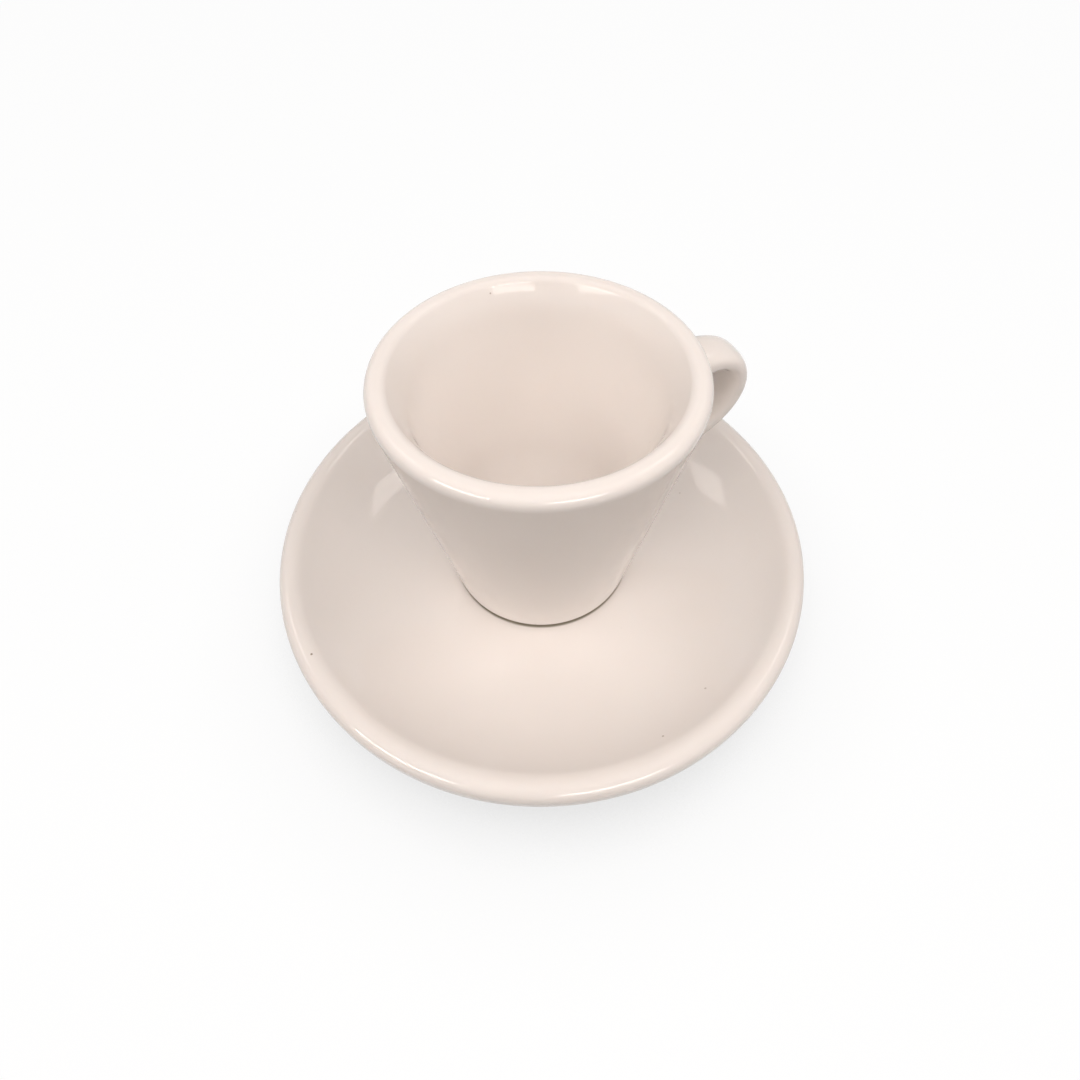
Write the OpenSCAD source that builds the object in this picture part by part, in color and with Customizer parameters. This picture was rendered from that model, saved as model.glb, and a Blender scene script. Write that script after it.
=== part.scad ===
// Cappuccino cup with a thick round lip and a ribbon handle, standing in a deep dished saucer.
// Millimetres, +Z up. The origin is on the table, at the middle of the saucer's foot ring.

/* [Saucer] */
// Outer diameter over the rim
saucer_d = 150; // [130:1:180]
// Height of the rim above the table
saucer_h = 22; // [19:0.5:26]
// Height of the dish's flat floor above the table
saucer_floor_h = 7; // [6:0.25:9]
// Thickness of the dish wall
saucer_t = 4.5; // [3.5:0.25:5.5]
// Width of the rolled rim, from the dish's slope to the edge
rim_w = 4.8; // [4:0.2:8]
// Thickness of the rim
rim_t = 5.6; // [4.5:0.1:7]
// Slope of the dish where it meets the rim, in degrees
dish_slope = 44; // [34:1:48]
// Radius of the sweep from the floor up into the slope
dish_round = 46; // [20:1:56]
// Outer diameter of the saucer's foot ring
saucer_foot_d = 82; // [64:1:96]
// Width of the saucer's foot ring where it stands
saucer_foot_w = 3; // [2:0.25:5]

/* [Cup] */
// Height of the cup from its foot to the top of the lip
cup_h = 75.8; // [60:0.2:90]
// Diameter over the lip
lip_d = 80; // [70:1:100]
// Thickness of the lip
lip_t = 4.6; // [4:0.1:6]
// Height of the lip, from its top to where the cone begins
lip_h = 2.9; // [2.5:0.1:4]
// Diameter of the cone's lower edge
base_d = 52.5; // [46:0.5:64]
// Thickness of the wall below the flare, measured level
cup_t = 8.6; // [7:0.1:10]
// Depth of the flare inside the cup, from the top of the lip
flare_h = 5.9; // [4.5:0.1:10]
// Radius between the flare and the wall
flare_round = 25; // [10:1:40]
// Thickness of the cup's floor
cup_floor_t = 5; // [4:0.25:8]
// Radius between the inside wall and the floor
cup_floor_round = 20; // [10:0.5:22]

/* [Cup foot] */
// How far the foot ring is set in from the cone's lower edge
foot_inset = 3.5; // [2:0.25:6]
// Width of the foot ring where it stands
foot_w = 3; // [2:0.25:5]
// Height of the foot ring under the cone's lower edge
foot_h = 2.2; // [1.6:0.1:3.2]
// Depth of the hollow inside the foot ring
foot_hollow = 3; // [1.5:0.25:4]
// Depth of the saucer's well that takes the foot ring
well_depth = 0.8; // [0.5:0.1:1.2]
// Play between the foot ring and the well, all round
well_play = 0.8; // [0.4:0.1:1.5]

/* [Handle] */
// Width of the ribbon, along the wall
handle_w = 11.8; // [9:0.2:16]
// Thickness of the ribbon
handle_t = 5.6; // [4.6:0.2:8]
// Drop from the top of the lip to the middle of the upper root
handle_drop = 12; // [11:0.2:18]
// Height between the middles of the two roots
handle_span = 26.4; // [20:0.2:36]
// Pull of the upper arm, which sets how far the ear stands out
handle_top_pull = 24; // [18:0.5:34]
// Upward tilt of the upper arm where it leaves the wall, in degrees
handle_top_tilt = 23; // [5:1:30]
// Pull of the lower arm
handle_low_pull = 29; // [20:0.5:38]
// Upward tilt of the lower arm where it leaves the wall, in degrees
handle_low_tilt = 7; // [0:1:25]
// Extra width and thickness of the ribbon at its roots
root_flare = 3; // [1:0.25:5]

/* [Hidden] */
glaze = [0.957, 0.906, 0.871];

// Round corners of the pieces
round_steps = 8;
side_use = 0.97;
edge_round = 0.7;
seam_round = 0.4;
base_round = 0.8;
lip_low_round = 5;
lip_round_share = 0.5;
rim_inner_round = 5;
rim_top_round = 2.7;
rim_low_round = 2;
rim_under_round = 12;
rim_under_tilt = 10;
ring_draft = 12;

// Sweep of the handle
handle_rings = 36;
handle_sides = 24;
section_power = 2.4;
root_depth = 4.5;
root_reach = 0.2;

// Heights and radii that follow from the sizes above
saucer_r = saucer_d / 2;
well_z = saucer_floor_h - well_depth;
foot_z = well_z;
base_z = foot_z + foot_h;
base_r = base_d / 2;
foot_r = base_r - foot_inset;
well_r = foot_r + well_play;
lip_z = foot_z + cup_h;
lip_r = lip_d / 2;
cone_top_z = lip_z - lip_h;
flare_z = lip_z - flare_h;
cup_floor_z = foot_z + foot_hollow + cup_floor_t;

// The dish's floor runs out to a sweep that ends in a straight slope, and the slope meets the rim
well_edge_r = well_r + well_depth;
slope_end_r = saucer_r - rim_w;
slope_start_r = slope_end_r - (saucer_h - saucer_floor_h) / tan(dish_slope);
sweep_r = min(dish_round, side_use * (slope_start_r - well_edge_r) / tan(dish_slope / 2));
sweep_start_r = slope_start_r - sweep_r * tan(dish_slope / 2);

// Height of the dish's upper face at a radius within the floor or the sweep
function dish_z(r) =
    saucer_floor_h + sweep_r - sqrt(pow(sweep_r, 2) - pow(max(0, r - sweep_start_r), 2));

// Radius of the cup's outside wall at a height
function wall_r(z) = base_r + (lip_r - base_r) * (z - base_z) / (cone_top_z - base_z);

// Half of the angle inside the corner between two neighbours
function half_angle(before, at, after) =
    let(a = before - at, b = after - at)
    acos(max(-1, min(1, a * b / norm(a) / norm(b)))) / 2;

// The points of an arc that rounds a corner, touching both of its sides
function corner_arc(before, at, after, radius) =
    let(
        a = (before - at) / norm(before - at),
        b = (after - at) / norm(after - at),
        half = half_angle(before, at, after),
        centre = at + (a + b) / norm(a + b) * radius / sin(half),
        first = at + a * radius / tan(half) - centre,
        last = at + b * radius / tan(half) - centre,
        start = atan2(first[1], first[0]),
        turn = atan2(first[0] * last[1] - first[1] * last[0], first * last)
    )
    [for (i = [0 : round_steps])
        let(angle = start + turn * i / round_steps)
        centre + radius * [cos(angle), sin(angle)]];

// A closed outline of corners [x, y, radius] with its corners rounded. Two arcs that share a side
// too short for both are made smaller alike, so that they fit.
function rounded(corners) =
    let(
        n = len(corners),
        p = [for (c = corners) [c[0], c[1]]],
        half = [for (i = [0 : n - 1]) half_angle(p[(i + n - 1) % n], p[i], p[(i + 1) % n])],
        reach = [for (i = [0 : n - 1]) corners[i][2] / tan(half[i])],
        share = [for (i = [0 : n - 1])
            let(j = (i + 1) % n, wanted = reach[i] + reach[j], room = side_use * norm(p[j] - p[i]))
            wanted > room ? room / wanted : 1]
    )
    [for (i = [0 : n - 1])
        let(before = (i + n - 1) % n, radius = corners[i][2] * min(share[before], share[i]))
        each radius > 0 ? corner_arc(p[before], p[i], p[(i + 1) % n], radius) : [p[i]]];

// The dished shell of the saucer: its upper face, its rim and its parallel underside
module saucer_shell() {
    under_z = saucer_floor_h - saucer_t;
    under_start_r = slope_start_r + saucer_t * tan(dish_slope / 2);
    rim_under_z = saucer_h - rim_t;
    // Where the underside of the slope meets the tilted underside of the rim
    rise = tan(dish_slope);
    tilt = tan(rim_under_tilt);
    under_end_r = (rim_under_z - under_z + under_start_r * rise - saucer_r * tilt) / (rise - tilt);
    under_end_z = under_z + (under_end_r - under_start_r) * rise;
    rotate_extrude() polygon(rounded([
        [0, well_z, 0],
        [well_r, well_z, seam_round],
        [well_edge_r, saucer_floor_h, seam_round],
        [slope_start_r, saucer_floor_h, sweep_r],
        [slope_end_r, saucer_h, rim_inner_round],
        [saucer_r, saucer_h, rim_top_round],
        [saucer_r, rim_under_z, rim_low_round],
        [under_end_r, under_end_z, rim_under_round],
        [under_start_r, under_z, sweep_r + saucer_t],
        [0, under_z, 0]
    ]));
}

// The saucer's foot ring, wider towards its root, which ends inside the shell
module saucer_foot() {
    outer_r = saucer_foot_d / 2;
    inner_r = outer_r - saucer_foot_w;
    root_z = dish_z(outer_r) - saucer_t / 2;
    spread = root_z * tan(ring_draft);
    rotate_extrude() polygon(rounded([
        [inner_r, 0, edge_round],
        [outer_r, 0, edge_round],
        [outer_r + spread, root_z, 0],
        [inner_r - spread, root_z, 0]
    ]));
}

module saucer() {
    color(glaze) union() {
        saucer_shell();
        saucer_foot();
    }
}

module cup_body() {
    lip_round = lip_round_share * lip_t;
    inner_r = lip_r - lip_t;
    inner_floor_r = wall_r(cup_floor_z) - cup_t;
    hollow_r = foot_r - foot_w;
    color(glaze) rotate_extrude() polygon(rounded([
        [0, foot_z + foot_hollow, 0],
        [hollow_r - foot_hollow * tan(ring_draft), foot_z + foot_hollow, edge_round],
        [hollow_r, foot_z, edge_round],
        [foot_r, foot_z, edge_round],
        [foot_r, base_z, edge_round],
        [base_r, base_z, base_round],
        [lip_r, cone_top_z, lip_low_round],
        [lip_r, lip_z, lip_round],
        [inner_r, lip_z, lip_round],
        [wall_r(flare_z) - cup_t, flare_z, flare_round],
        [inner_floor_r, cup_floor_z, cup_floor_round],
        [0, cup_floor_z, 0]
    ]));
}

// Middle line of the handle in the plane [outward, up]: a cubic curve from the upper root to the lower
upper_root_z = lip_z - handle_drop;
lower_root_z = upper_root_z - handle_span;
upper_root = [wall_r(upper_root_z), upper_root_z];
lower_root = [wall_r(lower_root_z), lower_root_z];
upper_pull = upper_root + handle_top_pull * [cos(handle_top_tilt), sin(handle_top_tilt)];
lower_pull = lower_root + handle_low_pull * [cos(handle_low_tilt), sin(handle_low_tilt)];
function handle_point(t) =
    pow(1 - t, 3) * upper_root + 3 * t * pow(1 - t, 2) * upper_pull
    + 3 * t * t * (1 - t) * lower_pull + pow(t, 3) * lower_root;
function handle_heading(t) =
    let(d = pow(1 - t, 2) * (upper_pull - upper_root) + 2 * t * (1 - t) * (lower_pull - upper_pull)
        + t * t * (lower_root - lower_pull))
    d / norm(d);

// Growth of the ribbon's section towards its roots, nothing in the middle
function flare(t) = root_flare * pow(max(0, 1 - min(t, 1 - t) / root_reach), 2);
// A rounded ribbon section: the bend's direction first, then along the wall
function section_part(c, half) = sign(c) * pow(abs(c), 2 / section_power) * half;
// A ring of the sweep, moved along its heading by a shift
function handle_ring(t, shift = 0) =
    let(h = handle_heading(t), p = handle_point(t) + shift * h, grow = flare(t))
    [for (i = [0 : handle_sides - 1])
        let(
            a = 360 * i / handle_sides,
            u = section_part(cos(a), (handle_t + grow) / 2),
            v = section_part(sin(a), (handle_w + grow) / 2)
        )
        [p[0] - h[1] * u, v, p[1] + h[0] * u]];

// The ribbon, with a straight stub at each root that reaches into the wall
module handle_sweep() {
    rings = concat(
        [handle_ring(0, -root_depth)],
        [for (k = [0 : handle_rings]) handle_ring(k / handle_rings)],
        [handle_ring(1, root_depth)]
    );
    last = len(rings) - 1;
    sides = [for (k = [0 : last - 1], i = [0 : handle_sides - 1])
        let(
            j = (i + 1) % handle_sides,
            a = k * handle_sides + i,
            b = k * handle_sides + j,
            c = a + handle_sides,
            d = b + handle_sides
        )
        each [[a, c, b], [b, c, d]]];
    first_end = [for (i = [0 : handle_sides - 1]) i];
    last_end = [for (i = [handle_sides - 1 : -1 : 0]) last * handle_sides + i];
    polyhedron([for (ring = rings) each ring], concat(sides, [first_end, last_end]), convexity = 4);
}

module cup_handle() {
    color(glaze) difference() {
        handle_sweep();
        translate([0, 0, base_z]) cylinder(h = cone_top_z - base_z, r1 = base_r, r2 = lip_r);
    }
}

saucer();
cup_body();
cup_handle();
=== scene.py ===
"""Cappuccino cup with its saucer: fine meshes, glaze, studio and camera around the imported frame.

Sizes are in millimetres and angles in degrees until a mesh, lamp or camera is made, which is in metres.
The frame is the part's own: +Z up, the origin on the table under the cup, the handle along +X.
"""

import logging
import math
from dataclasses import dataclass
from enum import Enum
from typing import Any

import bpy
from mathutils import Matrix, Vector


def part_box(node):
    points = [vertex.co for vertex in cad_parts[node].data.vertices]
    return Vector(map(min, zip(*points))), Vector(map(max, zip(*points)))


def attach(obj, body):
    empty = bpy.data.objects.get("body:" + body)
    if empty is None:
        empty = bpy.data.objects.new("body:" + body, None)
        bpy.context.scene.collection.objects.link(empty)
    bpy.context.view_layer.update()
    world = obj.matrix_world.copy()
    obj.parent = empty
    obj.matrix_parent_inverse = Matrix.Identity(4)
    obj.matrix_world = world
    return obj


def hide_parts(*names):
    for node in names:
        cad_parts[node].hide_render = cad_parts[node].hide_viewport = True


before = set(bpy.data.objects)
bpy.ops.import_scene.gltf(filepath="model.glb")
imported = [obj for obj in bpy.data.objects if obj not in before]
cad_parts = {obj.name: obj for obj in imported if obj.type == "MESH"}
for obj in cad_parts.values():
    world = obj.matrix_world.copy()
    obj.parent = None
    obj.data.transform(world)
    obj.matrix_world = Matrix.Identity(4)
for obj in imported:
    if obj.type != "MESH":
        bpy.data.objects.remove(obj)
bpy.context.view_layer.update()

MM = 0.001
# A face looks down where the height of its normal is below this
DOWNWARD = -0.5
LOG = logging.getLogger("cup_and_saucer")

Colour = tuple[float, float, float, float]
Point = tuple[float, float, float]


class Body(Enum):
    """The bodies of the frame that pieces ride on."""

    SAUCER = "saucer"
    CUP = "cup"


class Node(Enum):
    """The frame's nodes that fine meshes stand for."""

    SAUCER = "saucer"
    CUP_BODY = "cup_body"
    CUP_HANDLE = "cup_handle"


class Slot(Enum):
    """The record's material slots."""

    SAUCER_GLAZE = "saucer_glaze"
    CUP_GLAZE = "cup_glaze"


class NodeSheet:
    """A node tree with short calls that add nodes and join their sockets."""

    def __init__(self, tree: bpy.types.NodeTree) -> None:
        """Empties the tree, so that only the nodes added here are in it."""
        self.tree = tree
        self.tree.nodes.clear()

    def add(self, kind: str, sockets: dict[Any, Any] | None = None, **settings: Any) -> bpy.types.Node:
        """Adds a node.

        Args:
            kind: Blender's name of the node type.
            sockets: A value or another node's output for each named or numbered input.
            **settings: Properties of the node itself.

        Returns:
            The new node.
        """
        node = self.tree.nodes.new(kind)
        for name, value in settings.items():
            setattr(node, name, value)
        for name, value in (sockets or {}).items():
            self.set(node, name, value)
        return node

    def set(self, node: bpy.types.Node, name: Any, value: Any) -> None:
        """Gives an input a value, or joins it to an output.

        Args:
            node: The node that has the input.
            name: The input's name or number.
            value: A value or another node's output.
        """
        if isinstance(value, bpy.types.NodeSocket):
            self.tree.links.new(value, node.inputs[name])
        else:
            node.inputs[name].default_value = value

    def math(self, operation: str, *values: Any) -> bpy.types.NodeSocket:
        """Adds a calculation on one or more values.

        Args:
            operation: Blender's name of the operation.
            *values: Numbers or outputs, in the order of the node's inputs.

        Returns:
            The result's output.
        """
        return self.add("ShaderNodeMath", dict(enumerate(values)), operation=operation).outputs[0]

    def ramp(self, value: Any, low: float, high: float) -> bpy.types.NodeSocket:
        """Turns a value into a smooth step.

        Args:
            value: The output to read.
            low: Where the step starts, at 0.
            high: Where the step ends, at 1.

        Returns:
            The step's output.
        """
        sockets = {"Value": value, "From Min": low, "From Max": high}
        node = self.add("ShaderNodeMapRange", sockets, interpolation_type="SMOOTHSTEP")
        return node.outputs["Result"]

    def mix(self, share: Any, first: Any, second: Any) -> bpy.types.NodeSocket:
        """Mixes two colours.

        Args:
            share: How much of the second colour there is, from 0 to 1.
            first: A colour or an output.
            second: A colour or an output.

        Returns:
            The mixed colour's output.
        """
        sockets = {0: share, 6: first, 7: second}
        node = self.add("ShaderNodeMix", sockets, data_type="RGBA")
        return node.outputs[2]

    def noise(self, place: Any, size: float, detail: float = 2.0) -> bpy.types.NodeSocket:
        """Adds a noise.

        Args:
            place: The output that holds the place.
            size: Size of the noise's patches in millimetres.
            detail: How many finer layers lie on the first.

        Returns:
            The noise's output, about 0.5 on average.
        """
        sockets = {"Vector": place, "Scale": 1.0 / (size * MM), "Detail": detail}
        return self.add("ShaderNodeTexNoise", sockets).outputs[0]


@dataclass(frozen=True)
class Glaze:
    """A glossy warm white glaze over porcelain, with the small faults of a fired surface."""

    name: str
    colour: Colour = (0.893, 0.849, 0.817, 1.0)
    thin_colour: Colour = (0.903, 0.862, 0.832, 1.0)
    speck_colour: Colour = (0.30, 0.23, 0.17, 1.0)
    roughness: float = 0.07
    rough_play: float = 0.05
    patch_size: float = 38.0
    patch_low: float = 0.35
    patch_high: float = 0.65
    wave_size: float = 9.0
    wave_depth: float = 0.012
    ring_pitch: float = 1.7
    ring_depth: float = 0.0012
    speck_spacing: float = 9.0
    speck_size: float = 0.4
    speck_core: float = 0.4
    speck_rarity: float = 0.3
    glow_weight: float = 0.05
    glow_reach: float = 1.2
    glow_colour: Point = (1.0, 0.72, 0.55)
    index: float = 1.5
    # Painted shade: a dark ring on the saucer where the shadow of the gap under the cup's edge falls
    seam_shade_r: float = 0.0
    seam_shade_w: float = 2.4
    seam_shade_edge: float = 0.7
    seam_shade_colour: Colour = (0.29, 0.262, 0.208, 1.0)

    def material(self) -> bpy.types.Material:
        """Builds the glaze.

        Returns:
            The material.
        """
        material = bpy.data.materials.new(self.name)
        material.use_nodes = True
        sheet = NodeSheet(material.node_tree)
        place = sheet.add("ShaderNodeTexCoord").outputs["Object"]
        patches = sheet.noise(place, self.patch_size)
        tone = sheet.mix(sheet.ramp(patches, self.patch_low, self.patch_high), self.colour, self.thin_colour)
        tone = sheet.mix(self.specks(sheet, place), tone, self.speck_colour)
        # Painted shade: darkens the ring under the cup's edge, where the gap's shadow falls
        if self.seam_shade_r:
            tone = sheet.mix(self.seam_shade(sheet, place), tone, self.seam_shade_colour)
        rough = sheet.math("MULTIPLY_ADD", patches, self.rough_play, self.roughness - self.rough_play / 2)
        shader = sheet.add("ShaderNodeBsdfPrincipled", {
            "Base Color": tone,
            "Roughness": rough,
            "IOR": self.index,
            "Subsurface Weight": self.glow_weight,
            "Subsurface Radius": self.glow_colour,
            "Subsurface Scale": self.glow_reach * MM,
            "Normal": self.relief(sheet, place),
        })
        sheet.add("ShaderNodeOutputMaterial", {"Surface": shader.outputs[0]})
        return material

    def specks(self, sheet: NodeSheet, place: bpy.types.NodeSocket) -> bpy.types.NodeSocket:
        """Scatters rare dark specks.

        Args:
            sheet: The material's nodes.
            place: The output that holds the place.

        Returns:
            An output that is 1 in a speck and 0 elsewhere.
        """
        cells = sheet.add("ShaderNodeTexVoronoi", {
            "Vector": place,
            "Scale": 1.0 / (self.speck_spacing * MM),
        })
        edge = self.speck_size / self.speck_spacing
        dot = sheet.ramp(cells.outputs["Distance"], edge, edge * self.speck_core)
        draw = sheet.add("ShaderNodeSeparateColor", {"Color": cells.outputs["Color"]})
        chosen = sheet.math("GREATER_THAN", draw.outputs[0], self.speck_rarity)
        strength = sheet.math("MULTIPLY", chosen, draw.outputs[1])
        return sheet.math("MULTIPLY", dot, strength)

    @staticmethod
    def radius(sheet: NodeSheet, place: bpy.types.NodeSocket) -> bpy.types.NodeSocket:
        """Adds the distance from the turning axis.

        Args:
            sheet: The material's nodes.
            place: The output that holds the place.

        Returns:
            The distance's output.
        """
        flat = sheet.add("ShaderNodeVectorMath", {0: place, 1: (1.0, 1.0, 0.0)}, operation="MULTIPLY")
        return sheet.add("ShaderNodeVectorMath", {0: flat.outputs[0]}, operation="LENGTH").outputs["Value"]

    def seam_shade(self, sheet: NodeSheet, place: bpy.types.NodeSocket) -> bpy.types.NodeSocket:
        """Paints shade in a narrow dark ring in the seam under the cup's edge, where the gap beneath the
        edge lies in shadow.

        Args:
            sheet: The material's nodes.
            place: The output that holds the place.

        Returns:
            An output that is 1 in the ring and 0 elsewhere.
        """
        far = sheet.math("ABSOLUTE", sheet.math("SUBTRACT", self.radius(sheet, place), self.seam_shade_r * MM))
        return sheet.ramp(far, self.seam_shade_w / 2 * MM, (self.seam_shade_w / 2 - self.seam_shade_edge) * MM)

    def relief(self, sheet: NodeSheet, place: bpy.types.NodeSocket) -> bpy.types.NodeSocket:
        """Adds the faint waves of the glaze and the rings that the turning tool left under it.

        Args:
            sheet: The material's nodes.
            place: The output that holds the place.

        Returns:
            The normal's output.
        """
        parts = sheet.add("ShaderNodeSeparateXYZ", {0: place})
        along = sheet.math("ADD", self.radius(sheet, place), parts.outputs[2])
        turn = sheet.math("MULTIPLY", along, math.tau / (self.ring_pitch * MM))
        rings = sheet.math("SINE", turn)
        rings = sheet.math("MULTIPLY", rings, sheet.noise(place, self.patch_size / 3))
        waves = sheet.noise(place, self.wave_size, 1.0)
        height = sheet.math(
            "ADD",
            sheet.math("MULTIPLY", rings, self.ring_depth * MM),
            sheet.math("MULTIPLY", waves, self.wave_depth * MM),
        )
        bump = sheet.add("ShaderNodeBump", {"Strength": 1.0, "Distance": 1.0, "Height": height})
        return bump.outputs[0]


@dataclass(frozen=True)
class Biscuit:
    """Bare fired porcelain where a foot ring was wiped free of glaze."""

    name: str
    colour: Colour = (0.80, 0.73, 0.66, 1.0)
    worn_colour: Colour = (0.62, 0.56, 0.50, 1.0)
    roughness: float = 0.62
    grain_size: float = 0.6
    grain_depth: float = 0.05
    grain_detail: float = 3.0
    stain_size: float = 7.0
    stain_detail: float = 4.0
    stain_low: float = 0.5
    stain_high: float = 0.75

    def material(self) -> bpy.types.Material:
        """Builds the bare surface.

        Returns:
            The material.
        """
        material = bpy.data.materials.new(self.name)
        material.use_nodes = True
        sheet = NodeSheet(material.node_tree)
        place = sheet.add("ShaderNodeTexCoord").outputs["Object"]
        cloud = sheet.noise(place, self.stain_size, self.stain_detail)
        stains = sheet.ramp(cloud, self.stain_low, self.stain_high)
        grain = sheet.noise(place, self.grain_size, self.grain_detail)
        bump = sheet.add("ShaderNodeBump", {
            "Strength": 1.0,
            "Distance": 1.0,
            "Height": sheet.math("MULTIPLY", grain, self.grain_depth * MM),
        })
        shader = sheet.add("ShaderNodeBsdfPrincipled", {
            "Base Color": sheet.mix(stains, self.colour, self.worn_colour),
            "Roughness": self.roughness,
            "Normal": bump.outputs[0],
        })
        sheet.add("ShaderNodeOutputMaterial", {"Surface": shader.outputs[0]})
        return material


@dataclass(frozen=True)
class Corner:
    """A corner of a turned outline: distance from the axis, height and radius of its rounding."""

    r: float
    z: float
    rounding: float = 0.0

    @property
    def place(self) -> Vector:
        """The corner as a point of the outline's plane."""
        return Vector((self.r, self.z))


@dataclass(frozen=True)
class Outline:
    """An open outline from the axis and back to it, with rounded corners, that is turned into a piece."""

    corners: tuple[Corner, ...]
    side_use: float = 0.97
    arc_step: float = 5.0
    long_step: float = 1.6
    least_steps: int = 4

    def points(self) -> list[Vector]:
        """Rounds the corners and divides the long stretches.

        Returns:
            The outline's points in order.
        """
        places = [corner.place for corner in self.corners]
        radii = self.radii(places)
        rough = [places[0]]
        for i in range(1, len(places) - 1):
            rough += self.arc(places[i - 1], places[i], places[i + 1], radii[i])
        rough.append(places[-1])
        return self.divided(rough)

    @staticmethod
    def half_angle(before: Vector, at: Vector, after: Vector) -> float:
        """Half of the angle inside a corner, in radians."""
        return (before - at).angle(after - at) / 2

    def radii(self, places: list[Vector]) -> list[float]:
        """Makes two arcs that share a side smaller alike where the side is too short for both.

        Args:
            places: The corners' points.

        Returns:
            The radius at each corner.
        """
        last = len(places) - 1
        reach = [0.0] * len(places)
        for i in range(1, last):
            half = self.half_angle(places[i - 1], places[i], places[i + 1])
            reach[i] = self.corners[i].rounding / math.tan(half)
        share = [1.0] * len(places)
        for i in range(last):
            wanted = reach[i] + reach[i + 1]
            room = self.side_use * (places[i + 1] - places[i]).length
            if wanted > room:
                share[i] = min(share[i], room / wanted)
                share[i + 1] = min(share[i + 1], room / wanted)
        return [corner.rounding * part for corner, part in zip(self.corners, share)]

    def arc(self, before: Vector, at: Vector, after: Vector, radius: float) -> list[Vector]:
        """Rounds one corner.

        Args:
            before: The neighbour before the corner.
            at: The corner.
            after: The neighbour after the corner.
            radius: The arc's radius, or 0 for a sharp corner.

        Returns:
            The points of the arc that touches both sides.
        """
        if radius <= 0:
            return [at]
        a = (before - at).normalized()
        b = (after - at).normalized()
        half = self.half_angle(before, at, after)
        centre = at + (a + b).normalized() * radius / math.sin(half)
        first = at + a * radius / math.tan(half) - centre
        last = at + b * radius / math.tan(half) - centre
        turn = math.atan2(first.x * last.y - first.y * last.x, first.dot(last))
        steps = max(self.least_steps, math.ceil(abs(math.degrees(turn)) / self.arc_step))
        steps = max(steps, math.ceil(abs(turn) * radius / self.long_step))
        return [centre + Matrix.Rotation(turn * k / steps, 2) @ first for k in range(steps + 1)]

    def divided(self, rough: list[Vector]) -> list[Vector]:
        """Divides each stretch that is longer than the long step.

        Args:
            rough: The outline's points.

        Returns:
            The points with those of the divided stretches.
        """
        points = [rough[0]]
        for a, b in zip(rough, rough[1:]):
            parts = max(1, math.ceil((b - a).length / self.long_step))
            points += [a.lerp(b, k / parts) for k in range(1, parts + 1)]
        return points


@dataclass(frozen=True)
class Wheel:
    """The turning of an outline about the vertical axis."""

    segments: int = 224

    def turned(self, name: str, points: list[Vector]) -> bpy.types.Object:
        """Turns an outline into a closed piece.

        Args:
            name: The piece's name.
            points: The outline's points, of which the first and the last are on the axis.

        Returns:
            The new object, with its faces in the order of the outline.
        """
        rings = points[1:-1]
        vertices: list[Point] = [(0.0, 0.0, points[0].y * MM)]
        for point in rings:
            for k in range(self.segments):
                angle = math.tau * k / self.segments
                x = point.x * math.cos(angle) * MM
                y = point.x * math.sin(angle) * MM
                vertices.append((x, y, point.y * MM))
        vertices.append((0.0, 0.0, points[-1].y * MM))
        faces = [(0, self.spot(0, k), self.spot(0, k + 1)) for k in range(self.segments)]
        for j in range(len(rings) - 1):
            for k in range(self.segments):
                near = (self.spot(j, k), self.spot(j + 1, k))
                far = (self.spot(j + 1, k + 1), self.spot(j, k + 1))
                faces.append(near + far)
        end = len(rings) - 1
        pole = len(vertices) - 1
        faces += [(self.spot(end, k), pole, self.spot(end, k + 1)) for k in range(self.segments)]
        return make_piece(name, vertices, faces)

    def spot(self, ring: int, segment: int) -> int:
        """Number of a vertex on a ring."""
        return 1 + ring * self.segments + segment % self.segments


def make_piece(name: str, vertices: list[Point], faces: list[tuple[int, ...]]) -> bpy.types.Object:
    """Makes a smooth mesh object.

    Args:
        name: The piece's name.
        vertices: Places in metres.
        faces: Vertex numbers of each face, counter-clockwise from outside.

    Returns:
        The new object, in the scene.
    """
    mesh = bpy.data.meshes.new(name)
    mesh.from_pydata(vertices, [], faces)
    mesh.polygons.foreach_set("use_smooth", [True] * len(faces))
    mesh.update()
    piece = bpy.data.objects.new(name, mesh)
    bpy.context.scene.collection.objects.link(piece)
    return piece


def bare_foot(
    piece: bpy.types.Object, glaze: bpy.types.Material, bare: bpy.types.Material, height: float,
) -> None:
    """Gives a piece its glaze, and the bare finish on the ring that it stands on.

    Args:
        piece: The piece to dress.
        glaze: The finish of every other face.
        bare: The finish of the faces that stand on the surface under the piece.
        height: Height below which a face that looks down is bare.
    """
    piece.data.materials.append(glaze)
    piece.data.materials.append(bare)
    for face in piece.data.polygons:
        face.material_index = int(face.normal.z < DOWNWARD and face.center.z < height * MM)


def seat(piece: bpy.types.Object, body: Body, node: Node) -> bpy.types.Object:
    """Puts a finished piece on its body, in its node's place.

    Args:
        piece: The piece.
        body: The body that it rides on.
        node: The node that it stands for.

    Returns:
        The same piece.
    """
    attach(piece, body.value)
    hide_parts(node.value)
    LOG.info("%s: %d faces on body %s", piece.name, len(piece.data.polygons), body.value)
    return piece


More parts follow.
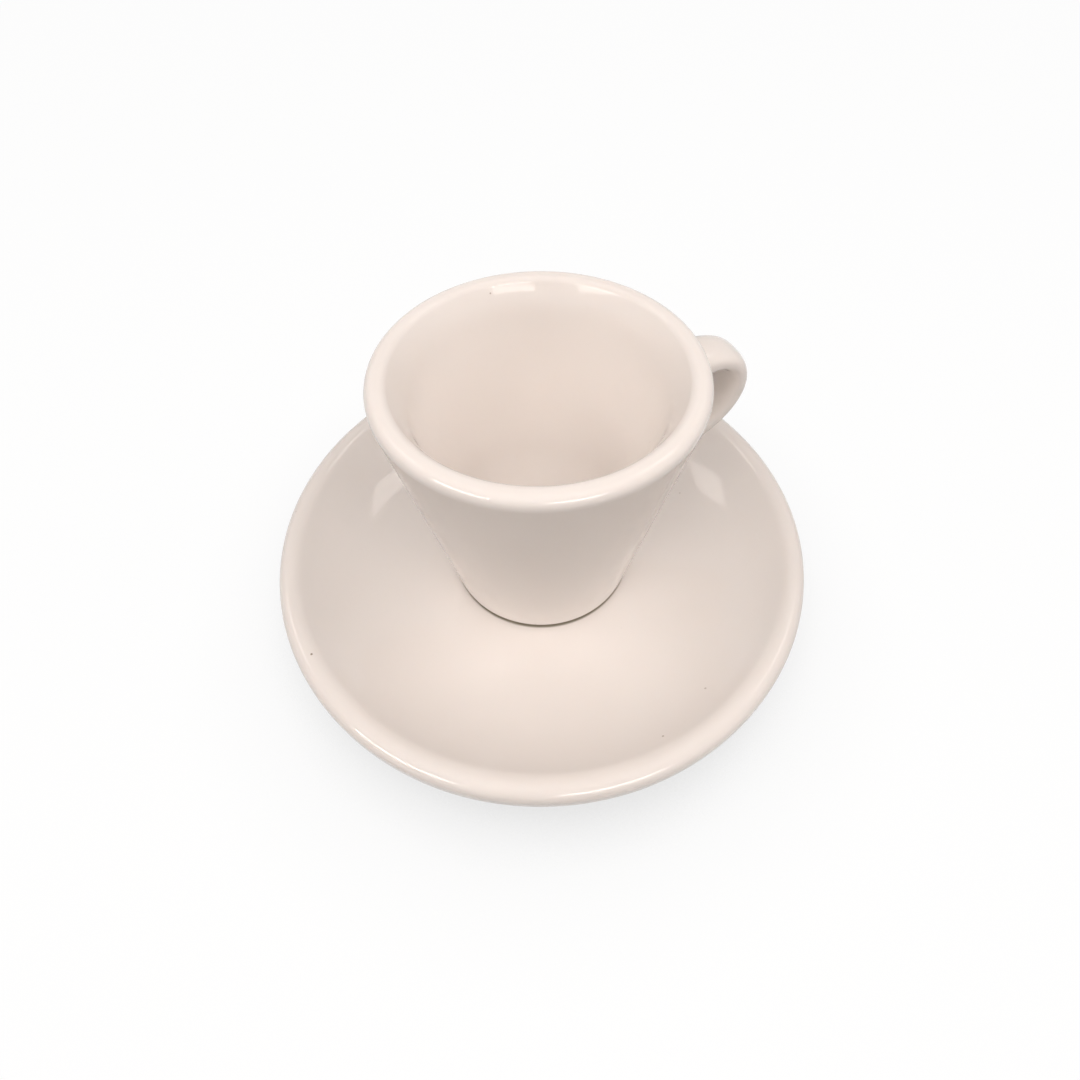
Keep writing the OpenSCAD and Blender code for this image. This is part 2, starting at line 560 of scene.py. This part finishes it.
@dataclass
class Saucer:
    """The deep dished saucer with its rounded rim, the well for the cup's foot and its own foot ring."""

    floor_z: float = 7.0
    wall_t: float = 4.5
    rim_w: float = 4.8
    rim_t: float = 5.6
    slope: float = 44.0
    sweep: float = 46.0
    well_r: float = 23.55
    well_depth: float = 0.8
    foot_r: float = 41.0
    foot_w: float = 3.0
    foot_draft: float = 12.0
    foot_round: float = 0.7
    foot_fillet: float = 1.6
    seam_round: float = 0.4
    rim_inner_round: float = 5.0
    rim_top_round: float = 2.7
    rim_low_round: float = 2.0
    rim_under_round: float = 12.0
    rim_under_tilt: float = 10.0
    bare_height: float = 0.25
    meeting_steps: int = 12

    def __post_init__(self) -> None:
        """Takes the outer radius and the rim's height from the frame."""
        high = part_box(Node.SAUCER.value)[1]
        self.outer_r = high.x / MM
        self.rim_z = high.z / MM

    def shell(self) -> list[Vector]:
        """The outline of the dish without its foot ring.

        Returns:
            Points from the middle of the well, over the rim, to the middle of the underside.
        """
        rise = math.tan(math.radians(self.slope))
        under_rise = math.tan(math.radians(self.rim_under_tilt))
        slope_end = self.outer_r - self.rim_w
        slope_start = slope_end - (self.rim_z - self.floor_z) / rise
        under_z = self.floor_z - self.wall_t
        under_start = slope_start + self.wall_t * math.tan(math.radians(self.slope / 2))
        rim_under_z = self.rim_z - self.rim_t
        drop = rim_under_z - under_z + under_start * rise - self.outer_r * under_rise
        under_end = drop / (rise - under_rise)
        well_z = self.floor_z - self.well_depth
        return Outline((
            Corner(0.0, well_z),
            Corner(self.well_r, well_z, self.seam_round),
            Corner(self.well_r + self.well_depth, self.floor_z, self.seam_round),
            Corner(slope_start, self.floor_z, self.sweep),
            Corner(slope_end, self.rim_z, self.rim_inner_round),
            Corner(self.outer_r, self.rim_z, self.rim_top_round),
            Corner(self.outer_r, rim_under_z, self.rim_low_round),
            Corner(under_end, under_z + (under_end - under_start) * rise, self.rim_under_round),
            Corner(under_start, under_z, self.sweep + self.wall_t),
            Corner(0.0, under_z),
        )).points()

    def outline(self) -> list[Vector]:
        """The dish's outline with the foot ring set into its underside.

        Returns:
            Points from the middle of the well to the middle of the underside.
        """
        shell = self.shell()
        rim = max(range(len(shell)), key=lambda i: shell[i].x)
        under = shell[rim:]
        lean = math.tan(math.radians(self.foot_draft))
        inner_r = self.foot_r - self.foot_w
        reach = 2 * self.foot_fillet
        outer_root = self.root(under, self.foot_r, lean)
        inner_root = self.root(under, inner_r, -lean)
        ring = Outline((
            self.on_shell(under, outer_root.x + reach),
            Corner(outer_root.x, outer_root.y, self.foot_fillet),
            Corner(self.foot_r, 0.0, self.foot_round),
            Corner(inner_r, 0.0, self.foot_round),
            Corner(inner_root.x, inner_root.y, self.foot_fillet),
            self.on_shell(under, inner_root.x - reach),
        )).points()
        before = [point for point in under if point.x > ring[0].x + self.seam_round]
        after = [point for point in under if point.x < ring[-1].x - self.seam_round]
        return shell[:rim] + before + ring + after

    @staticmethod
    def height_at(under: list[Vector], r: float) -> float:
        """Height of the underside at a radius.

        Args:
            under: The underside's points, from the rim inwards.
            r: The radius.

        Returns:
            The height, between the two points on either side.
        """
        for a, b in zip(under, under[1:]):
            if b.x <= r <= a.x and a.x > b.x:
                return b.y + (a.y - b.y) * (r - b.x) / (a.x - b.x)
        return under[-1].y

    def on_shell(self, under: list[Vector], r: float) -> Corner:
        """A sharp corner on the underside at a radius."""
        return Corner(r, self.height_at(under, r))

    def root(self, under: list[Vector], r: float, lean: float) -> Vector:
        """Where a side of the foot ring meets the underside.

        Args:
            under: The underside's points, from the rim inwards.
            r: The side's radius where it stands.
            lean: How much the radius grows with height.

        Returns:
            The meeting point.
        """
        point = Vector((r, 0.0))
        for _ in range(self.meeting_steps):
            point.y = self.height_at(under, point.x)
            point.x = r + lean * point.y
        return point

    def build(self, glaze: bpy.types.Material, bare: bpy.types.Material) -> bpy.types.Object:
        """Turns, dresses and seats the saucer.

        Args:
            glaze: The finish of the dish.
            bare: The finish of the foot ring's standing face.

        Returns:
            The saucer.
        """
        piece = Wheel().turned("saucer_glazed", self.outline())
        bare_foot(piece, glaze, bare, self.bare_height)
        return seat(piece, Body.SAUCER, Node.SAUCER)


@dataclass
class CupBody:
    """The conical cup with its thick round lip and the foot ring that stands in the saucer's well.

    Under the flared mouth the wall is thinner than the node's by upper_thinning, for a smooth inside.
    """

    lip_t: float = 4.6
    lip_h: float = 2.9
    base_r: float = 26.25
    wall_t: float = 8.6
    flare_h: float = 5.9
    flare_round: float = 25.0
    upper_thinning: float = 1.3
    floor_t: float = 5.0
    floor_round: float = 20.0
    foot_inset: float = 3.5
    foot_w: float = 3.0
    foot_h: float = 2.2
    foot_hollow: float = 3.0
    hollow_draft: float = 12.0
    edge_round: float = 0.7
    base_round: float = 0.8
    lip_low_round: float = 5.0
    lip_round_share: float = 0.5
    bare_height: float = 0.25

    def __post_init__(self) -> None:
        """Takes the foot's height and the lip's height and radius from the frame."""
        low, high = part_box(Node.CUP_BODY.value)
        self.foot_z = low.z / MM
        self.lip_z = high.z / MM
        self.lip_r = high.y / MM

    @property
    def base_z(self) -> float:
        """Height of the cone's lower edge."""
        return self.foot_z + self.foot_h

    @property
    def cone_top_z(self) -> float:
        """Height where the cone runs into the lip."""
        return self.lip_z - self.lip_h

    def wall_r(self, z: float) -> float:
        """Radius of the outside wall at a height."""
        rise = (z - self.base_z) / (self.cone_top_z - self.base_z)
        return self.base_r + (self.lip_r - self.base_r) * rise

    def outline(self) -> list[Vector]:
        """The cup's outline.

        Returns:
            Points from the middle of the hollow under the foot to the middle of the floor inside.
        """
        lip_round = self.lip_round_share * self.lip_t
        flare_z = self.lip_z - self.flare_h
        floor_z = self.foot_z + self.foot_hollow + self.floor_t
        foot_r = self.base_r - self.foot_inset
        hollow_r = foot_r - self.foot_w
        hollow_z = self.foot_z + self.foot_hollow
        lean = math.tan(math.radians(self.hollow_draft))
        return Outline((
            Corner(0.0, hollow_z),
            Corner(hollow_r - self.foot_hollow * lean, hollow_z, self.edge_round),
            Corner(hollow_r, self.foot_z, self.edge_round),
            Corner(foot_r, self.foot_z, self.edge_round),
            Corner(foot_r, self.base_z, self.edge_round),
            Corner(self.base_r, self.base_z, self.base_round),
            Corner(self.lip_r, self.cone_top_z, self.lip_low_round),
            Corner(self.lip_r, self.lip_z, lip_round),
            Corner(self.lip_r - self.lip_t, self.lip_z, lip_round),
            Corner(self.wall_r(flare_z) - self.wall_t + self.upper_thinning, flare_z, self.flare_round),
            Corner(self.wall_r(floor_z) - self.wall_t, floor_z, self.floor_round),
            Corner(0.0, floor_z),
        )).points()[::-1]

    def build(self, glaze: bpy.types.Material, bare: bpy.types.Material) -> bpy.types.Object:
        """Turns, dresses and seats the cup.

        Args:
            glaze: The finish of the walls.
            bare: The finish of the foot ring's standing face.

        Returns:
            The cup's body.
        """
        piece = Wheel().turned("cup_body_glazed", self.outline())
        bare_foot(piece, glaze, bare, self.foot_z + self.bare_height)
        return seat(piece, Body.CUP, Node.CUP_BODY)


@dataclass
class CupHandle:
    """The ear of a rounded ribbon that swells at its roots and runs into the wall in a fillet."""

    cup: CupBody
    width: float = 11.8
    thickness: float = 5.6
    drop: float = 12.0
    span: float = 26.4
    top_pull: float = 24.0
    top_tilt: float = 23.0
    low_pull: float = 29.0
    low_tilt: float = 7.0
    root_flare: float = 3.0
    flare_reach: float = 0.2
    section_power: float = 2.4
    fillet: float = 2.4
    least_fillet: float = 0.3
    stub: float = 9.0
    sink: float = 1.2
    buried_share: float = 1.0
    clear_share: float = 0.3
    sides: int = 72
    rings: int = 110
    fillet_rings: int = 9
    meeting_steps: int = 40
    length_steps: int = 40

    def __post_init__(self) -> None:
        """Places the four points of the middle line's curve."""
        top_z = self.cup.lip_z - self.drop
        low_z = top_z - self.span
        self.top = Vector((self.cup.wall_r(top_z), top_z))
        self.low = Vector((self.cup.wall_r(low_z), low_z))
        self.top_aim = self.top + self.top_pull * self.heading_of(self.top_tilt)
        self.low_aim = self.low + self.low_pull * self.heading_of(self.low_tilt)

    @staticmethod
    def heading_of(tilt: float) -> Vector:
        """The direction outwards and up at a tilt."""
        return Vector((math.cos(math.radians(tilt)), math.sin(math.radians(tilt))))

    def middle(self, t: float) -> Vector:
        """Point of the middle line at a share from 0 at the upper root to 1 at the lower one."""
        s = 1 - t
        return s**3 * self.top + 3 * t * s**2 * self.top_aim + 3 * t**2 * s * self.low_aim + t**3 * self.low

    def heading(self, t: float) -> Vector:
        """Direction of the middle line.

        Args:
            t: Share of the line, from 0 at the upper root to 1 at the lower one.

        Returns:
            The unit direction.
        """
        s = 1 - t
        along = s**2 * (self.top_aim - self.top) + 2 * t * s * (self.low_aim - self.top_aim)
        return (along + t**2 * (self.low - self.low_aim)).normalized()

    def swell(self, t: float) -> float:
        """Growth of the section towards the roots, nothing in the middle."""
        return self.root_flare * max(0.0, 1 - min(t, 1 - t) / self.flare_reach) ** 2

    def skin(self, t: float, side: int) -> Vector:
        """A point of the ribbon's skin.

        Args:
            t: Share of the middle line. Below 0 and above 1 it goes straight on into the wall.
            side: Number of the point round the section.

        Returns:
            The point, in millimetres.
        """
        held = min(1.0, max(0.0, t))
        heading = self.heading(held)
        middle = self.middle(held) + (t - held) * self.stub * heading
        angle = math.tau * side / self.sides
        grow = self.swell(held)
        bend = self.section_part(math.cos(angle), (self.thickness + grow) / 2)
        across = self.section_part(math.sin(angle), (self.width + grow) / 2)
        return Vector((middle.x - heading.y * bend, across, middle.y + heading.x * bend))

    def section_part(self, share: float, half: float) -> float:
        """One coordinate of the rounded ribbon section."""
        return math.copysign(abs(share) ** (2 / self.section_power) * half, share)

    def depth(self, point: Vector) -> float:
        """How far a point lies outside the cup's wall, measured level."""
        return math.hypot(point.x, point.y) - self.cup.wall_r(point.z)

    def meeting(self, side: int, inside: float, outside: float) -> float:
        """Finds where a line along the ribbon meets a surface of the wall.

        Args:
            side: Number of the line round the section.
            inside: A share of the middle line that is inside the wall.
            outside: A share that is outside it.

        Returns:
            The share where the line crosses the wall.
        """
        for _ in range(self.meeting_steps):
            half = (inside + outside) / 2
            if self.depth(self.skin(half, side)) > 0:
                outside = half
            else:
                inside = half
        return outside

    def on_wall(self, point: Vector, depth: float) -> Vector:
        """A point moved level to a depth inside the wall."""
        share = (self.cup.wall_r(point.z) - depth) / math.hypot(point.x, point.y)
        return Vector((point.x * share, point.y * share, point.z))

    def root_rings(self, shares: list[float], starts: list[Vector]) -> list[list[Vector]]:
        """The rings of a root's fillet, from the ribbon to the wall and into it.

        Args:
            shares: Where each line along the ribbon meets the wall.
            starts: Where the fillet leaves each line.

        Returns:
            The rings, of which the last is inside the wall.
        """
        feet = [self.skin(share, side) for side, share in enumerate(shares)]
        centre = sum(feet, Vector()) / len(feet)
        ceiling = self.cup.cone_top_z
        curves = []
        for foot, start in zip(feet, starts):
            away = (foot - centre).normalized()
            room = (ceiling - foot.z) / away.z if away.z > 0 else self.fillet
            end = self.on_wall(foot + away * min(self.fillet, max(room, self.least_fillet)), 0.0)
            deep = self.on_wall(end, self.sink)
            shares_along = [k / self.fillet_rings for k in range(1, self.fillet_rings + 1)]
            curve = [(1 - k) ** 2 * start + 2 * k * (1 - k) * foot + k**2 * end for k in shares_along]
            curves.append(curve + [deep])
        return [list(ring) for ring in zip(*curves)]

    def build(self, glaze: bpy.types.Material) -> bpy.types.Object:
        """Sweeps, dresses and seats the handle.

        Args:
            glaze: The cup's finish.

        Returns:
            The handle.
        """
        count = range(self.sides)
        top = [self.meeting(side, -self.buried_share, self.clear_share) for side in count]
        low = [self.meeting(side, 1 + self.buried_share, 1 - self.clear_share) for side in count]
        marks = [self.middle(k / self.length_steps) for k in range(self.length_steps + 1)]
        length = sum((b - a).length for a, b in zip(marks, marks[1:]))
        lead = self.fillet / length
        rings = []
        for k in range(self.rings + 1):
            part = k / self.rings
            shares = [(top[i] + lead) * (1 - part) + (low[i] - lead) * part for i in count]
            rings.append([self.skin(share, i) for i, share in enumerate(shares)])
        rings = self.root_rings(top, rings[0])[::-1] + rings + self.root_rings(low, rings[-1])
        vertices = [tuple(point * MM) for ring in rings for point in ring]
        faces = [
            (a * self.sides + i, a * self.sides + (i + 1) % self.sides,
             (a + 1) * self.sides + (i + 1) % self.sides, (a + 1) * self.sides + i)
            for a in range(len(rings) - 1) for i in count
        ]
        faces.append(tuple(reversed(count)))
        faces.append(tuple((len(rings) - 1) * self.sides + i for i in count))
        piece = make_piece("cup_handle_glazed", vertices, faces)
        piece.data.materials.append(glaze)
        return seat(piece, Body.CUP, Node.CUP_HANDLE)


@dataclass(frozen=True)
class Lamp:
    """A soft lamp, placed as the camera sees the cup.

    The azimuth is 0 towards the camera and grows to its right, and the elevation is above the table.
    """

    name: str
    azimuth: float
    elevation: float
    radiance: float
    width: float = 700.0
    height: float = 700.0
    distance: float = 1500.0
    colour: Point = (1.0, 0.92, 0.868)
    mirrored: bool = False

    def build(self, camera_azimuth: float, aim: Vector) -> bpy.types.Object:
        """Hangs the lamp so that it looks at the cup.

        Args:
            camera_azimuth: The camera's azimuth in the frame.
            aim: The point that the lamp looks at, in metres.

        Returns:
            The lamp.
        """
        data = bpy.data.lights.new(self.name, "AREA")
        data.shape = "RECTANGLE"
        data.size = self.width * MM
        data.size_y = self.height * MM
        data.color = self.colour
        data.energy = self.radiance * math.pi * data.size * data.size_y
        lamp = bpy.data.objects.new(self.name, data)
        bpy.context.scene.collection.objects.link(lamp)
        lamp.visible_camera = False
        lamp.visible_glossy = self.mirrored
        lamp.visible_diffuse = not self.mirrored
        back = direction(camera_azimuth + self.azimuth, self.elevation)
        lamp.rotation_mode = "QUATERNION"
        lamp.rotation_quaternion = back.to_track_quat("Z", "Y")
        lamp.location = aim + back * self.distance * MM
        LOG.info("%s: %.2f W", self.name, data.energy)
        return lamp


def direction(azimuth: float, elevation: float) -> Vector:
    """A direction from an azimuth, 0 along -Y and growing towards +X, and an elevation.

    Args:
        azimuth: Degrees round the vertical axis.
        elevation: Degrees above the table.

    Returns:
        The unit vector.
    """
    a = math.radians(azimuth)
    e = math.radians(elevation)
    return Vector((math.sin(a) * math.cos(e), -math.cos(a) * math.cos(e), math.sin(e)))


@dataclass(frozen=True)
class PhotoCamera:
    """The camera of the photographed view. Pixels are those of the square frame."""

    frame_px: float = 1080.0
    focal_px: float = 679.3
    centre_x_px: float = 539.3
    centre_y_px: float = 434.5
    azimuth: float = -19.6
    elevation: float = 46.58
    distance: float = 172.6
    aim_z: float = 58.82
    roll: float = -0.99
    sensor: float = 36.0
    nearest: float = 10.0

    def build(self) -> bpy.types.Object:
        """Makes the camera the scene's own.

        Returns:
            The camera.
        """
        data = bpy.data.cameras.new("photo_camera")
        data.sensor_width = self.sensor
        data.lens = self.focal_px / self.frame_px * self.sensor
        data.shift_x = (self.frame_px / 2 - self.centre_x_px) / self.frame_px
        data.shift_y = (self.centre_y_px - self.frame_px / 2) / self.frame_px
        data.clip_start = self.nearest * MM
        camera = bpy.data.objects.new("photo_camera", data)
        bpy.context.scene.collection.objects.link(camera)
        back = direction(self.azimuth, self.elevation)
        right = Vector((0.0, 0.0, 1.0)).cross(back).normalized()
        axes = Matrix((right, back.cross(right), back)).transposed()
        turned = axes @ Matrix.Rotation(math.radians(self.roll), 3, "Z")
        place = Vector((0, 0, self.aim_z * MM)) + back * self.distance * MM
        camera.matrix_world = Matrix.Translation(place) @ turned.to_4x4()
        bpy.context.scene.camera = camera
        return camera


@dataclass(frozen=True)
class Studio:
    """A pale floor, a white surround and soft lamps."""

    camera_azimuth: float
    floor_size: float = 6000.0
    floor_colour: Colour = (0.50, 0.49, 0.48, 1.0)
    floor_lift: float = 0.96
    shade_reach: float = 40.0
    shade: float = 0.58
    shade_power: float = 2.0
    shade_samples: int = 4
    white: Colour = (1.0, 1.0, 1.0, 1.0)
    ambient: Colour = (0.03, 0.03, 0.03, 1.0)
    aim_z: float = 40.0

    @staticmethod
    def lamps() -> tuple[Lamp, ...]:
        """The lamps of the studio.

        Returns:
            The broad soft lamps that light the piece, and the small ones that its glaze mirrors.
        """
        return (
            Lamp("soft_front", 0.0, 60.0, 2.2, 340.0, 340.0, 450.0),
            Lamp("soft_top", 0.0, 90.0, 1.05, 280.0, 280.0, 340.0),
            Lamp("soft_right", 90.0, 30.0, 2.9),
            Lamp("soft_left", -90.0, 30.0, 2.5),
            Lamp("soft_front_right", 45.0, 50.0, 2.2),
            Lamp("soft_front_left", -45.0, 42.0, 2.5),
            Lamp("soft_back_right", 135.0, 48.0, 0.8),
            Lamp("soft_back_left", -135.0, 50.0, 0.8),
            Lamp("strip_right", 18.0, 25.0, 4.5, 780.0, 130.0, mirrored=True),
            Lamp("strip_left", -48.0, 25.0, 4.5, 780.0, 130.0, mirrored=True),
            Lamp("edge_right", 22.0, 36.0, 20.0, 780.0, 130.0, mirrored=True),
            Lamp("edge_left", -47.0, 36.0, 20.0, 780.0, 130.0, mirrored=True),
            Lamp("patch_right", 130.0, 58.0, 2.6, 300.0, 300.0, mirrored=True),
            Lamp("patch_left", -122.0, 51.0, 2.6, 300.0, 300.0, mirrored=True),
        )

    @staticmethod
    def seen_directly(sheet: NodeSheet) -> bpy.types.NodeSocket:
        """Tells the rays that see a surface from those that only carry its light.

        Args:
            sheet: The nodes of the material or the world.

        Returns:
            An output that is 1 for rays from the camera, a mirror image or a clear piece.
        """
        path = sheet.add("ShaderNodeLightPath").outputs
        seen = sheet.math("MAXIMUM", path["Is Camera Ray"], path["Is Glossy Ray"])
        return sheet.math("MAXIMUM", seen, path["Is Transmission Ray"])

    def surround(self) -> None:
        """Sets the world: white where it is seen, and a soft even light elsewhere."""
        world = bpy.data.worlds.new("surround")
        world.use_nodes = True
        bpy.context.scene.world = world
        sheet = NodeSheet(world.node_tree)
        colour = sheet.mix(self.seen_directly(sheet), self.ambient, self.white)
        light = sheet.add("ShaderNodeBackground", {"Color": colour})
        sheet.add("ShaderNodeOutputWorld", {"Surface": light.outputs[0]})

    def floor(self) -> bpy.types.Object:
        """Lays the floor, which is lifted to white where it is seen, with painted shade from its occlusion
        near the pieces over a faint real shadow.

        Returns:
            The floor.
        """
        half = self.floor_size * MM / 2
        corners = [(-half, -half, 0.0), (half, -half, 0.0), (half, half, 0.0), (-half, half, 0.0)]
        floor = make_piece("floor", corners, [(0, 1, 2, 3)])
        material = bpy.data.materials.new("pale_paper")
        material.use_nodes = True
        sheet = NodeSheet(material.node_tree)
        seen = self.seen_directly(sheet)
        paper = sheet.add("ShaderNodeBsdfDiffuse", {"Color": sheet.mix(seen, self.floor_colour, self.white)})
        reach = {"Distance": self.shade_reach * MM}
        # Painted shadow: the seen floor glows less where the pieces hide it, darker in the hollow under the
        # rim
        shade = sheet.add("ShaderNodeAmbientOcclusion", reach, samples=self.shade_samples)
        covered = sheet.math("POWER", sheet.math("SUBTRACT", 1.0, shade.outputs["AO"]), self.shade_power)
        left = sheet.math("MULTIPLY_ADD", covered, -self.shade, 1.0)
        glow = sheet.add("ShaderNodeEmission", {"Color": self.white, "Strength": left})
        share = sheet.math("MULTIPLY", seen, self.floor_lift)
        both = sheet.add("ShaderNodeMixShader", {0: share, 1: paper.outputs[0], 2: glow.outputs[0]})
        sheet.add("ShaderNodeOutputMaterial", {"Surface": both.outputs[0]})
        floor.data.materials.append(material)
        return floor

    def build(self) -> None:
        """Sets up the surround, the floor and the lamps."""
        bpy.context.scene.view_settings.view_transform = "Standard"
        self.surround()
        self.floor()
        for lamp in self.lamps():
            lamp.build(self.camera_azimuth, Vector((0.0, 0.0, self.aim_z * MM)))


def main() -> None:
    """Builds the camera, the studio and the pieces in order."""
    logging.basicConfig(level=logging.INFO, format="%(message)s")
    camera = PhotoCamera()
    camera.build()
    Studio(camera.azimuth).build()
    bare = Biscuit("bare_foot").material()
    # The saucer's glaze has painted shade in a ring under the cup's edge
    Saucer().build(Glaze("saucer_glaze", seam_shade_r=25.3).material(), bare)
    cup_glaze = Glaze("cup_glaze", speck_rarity=0.8).material()
    cup = CupBody()
    cup.build(cup_glaze, bare)
    CupHandle(cup).build(cup_glaze)


if __name__ == "__main__":
    main()
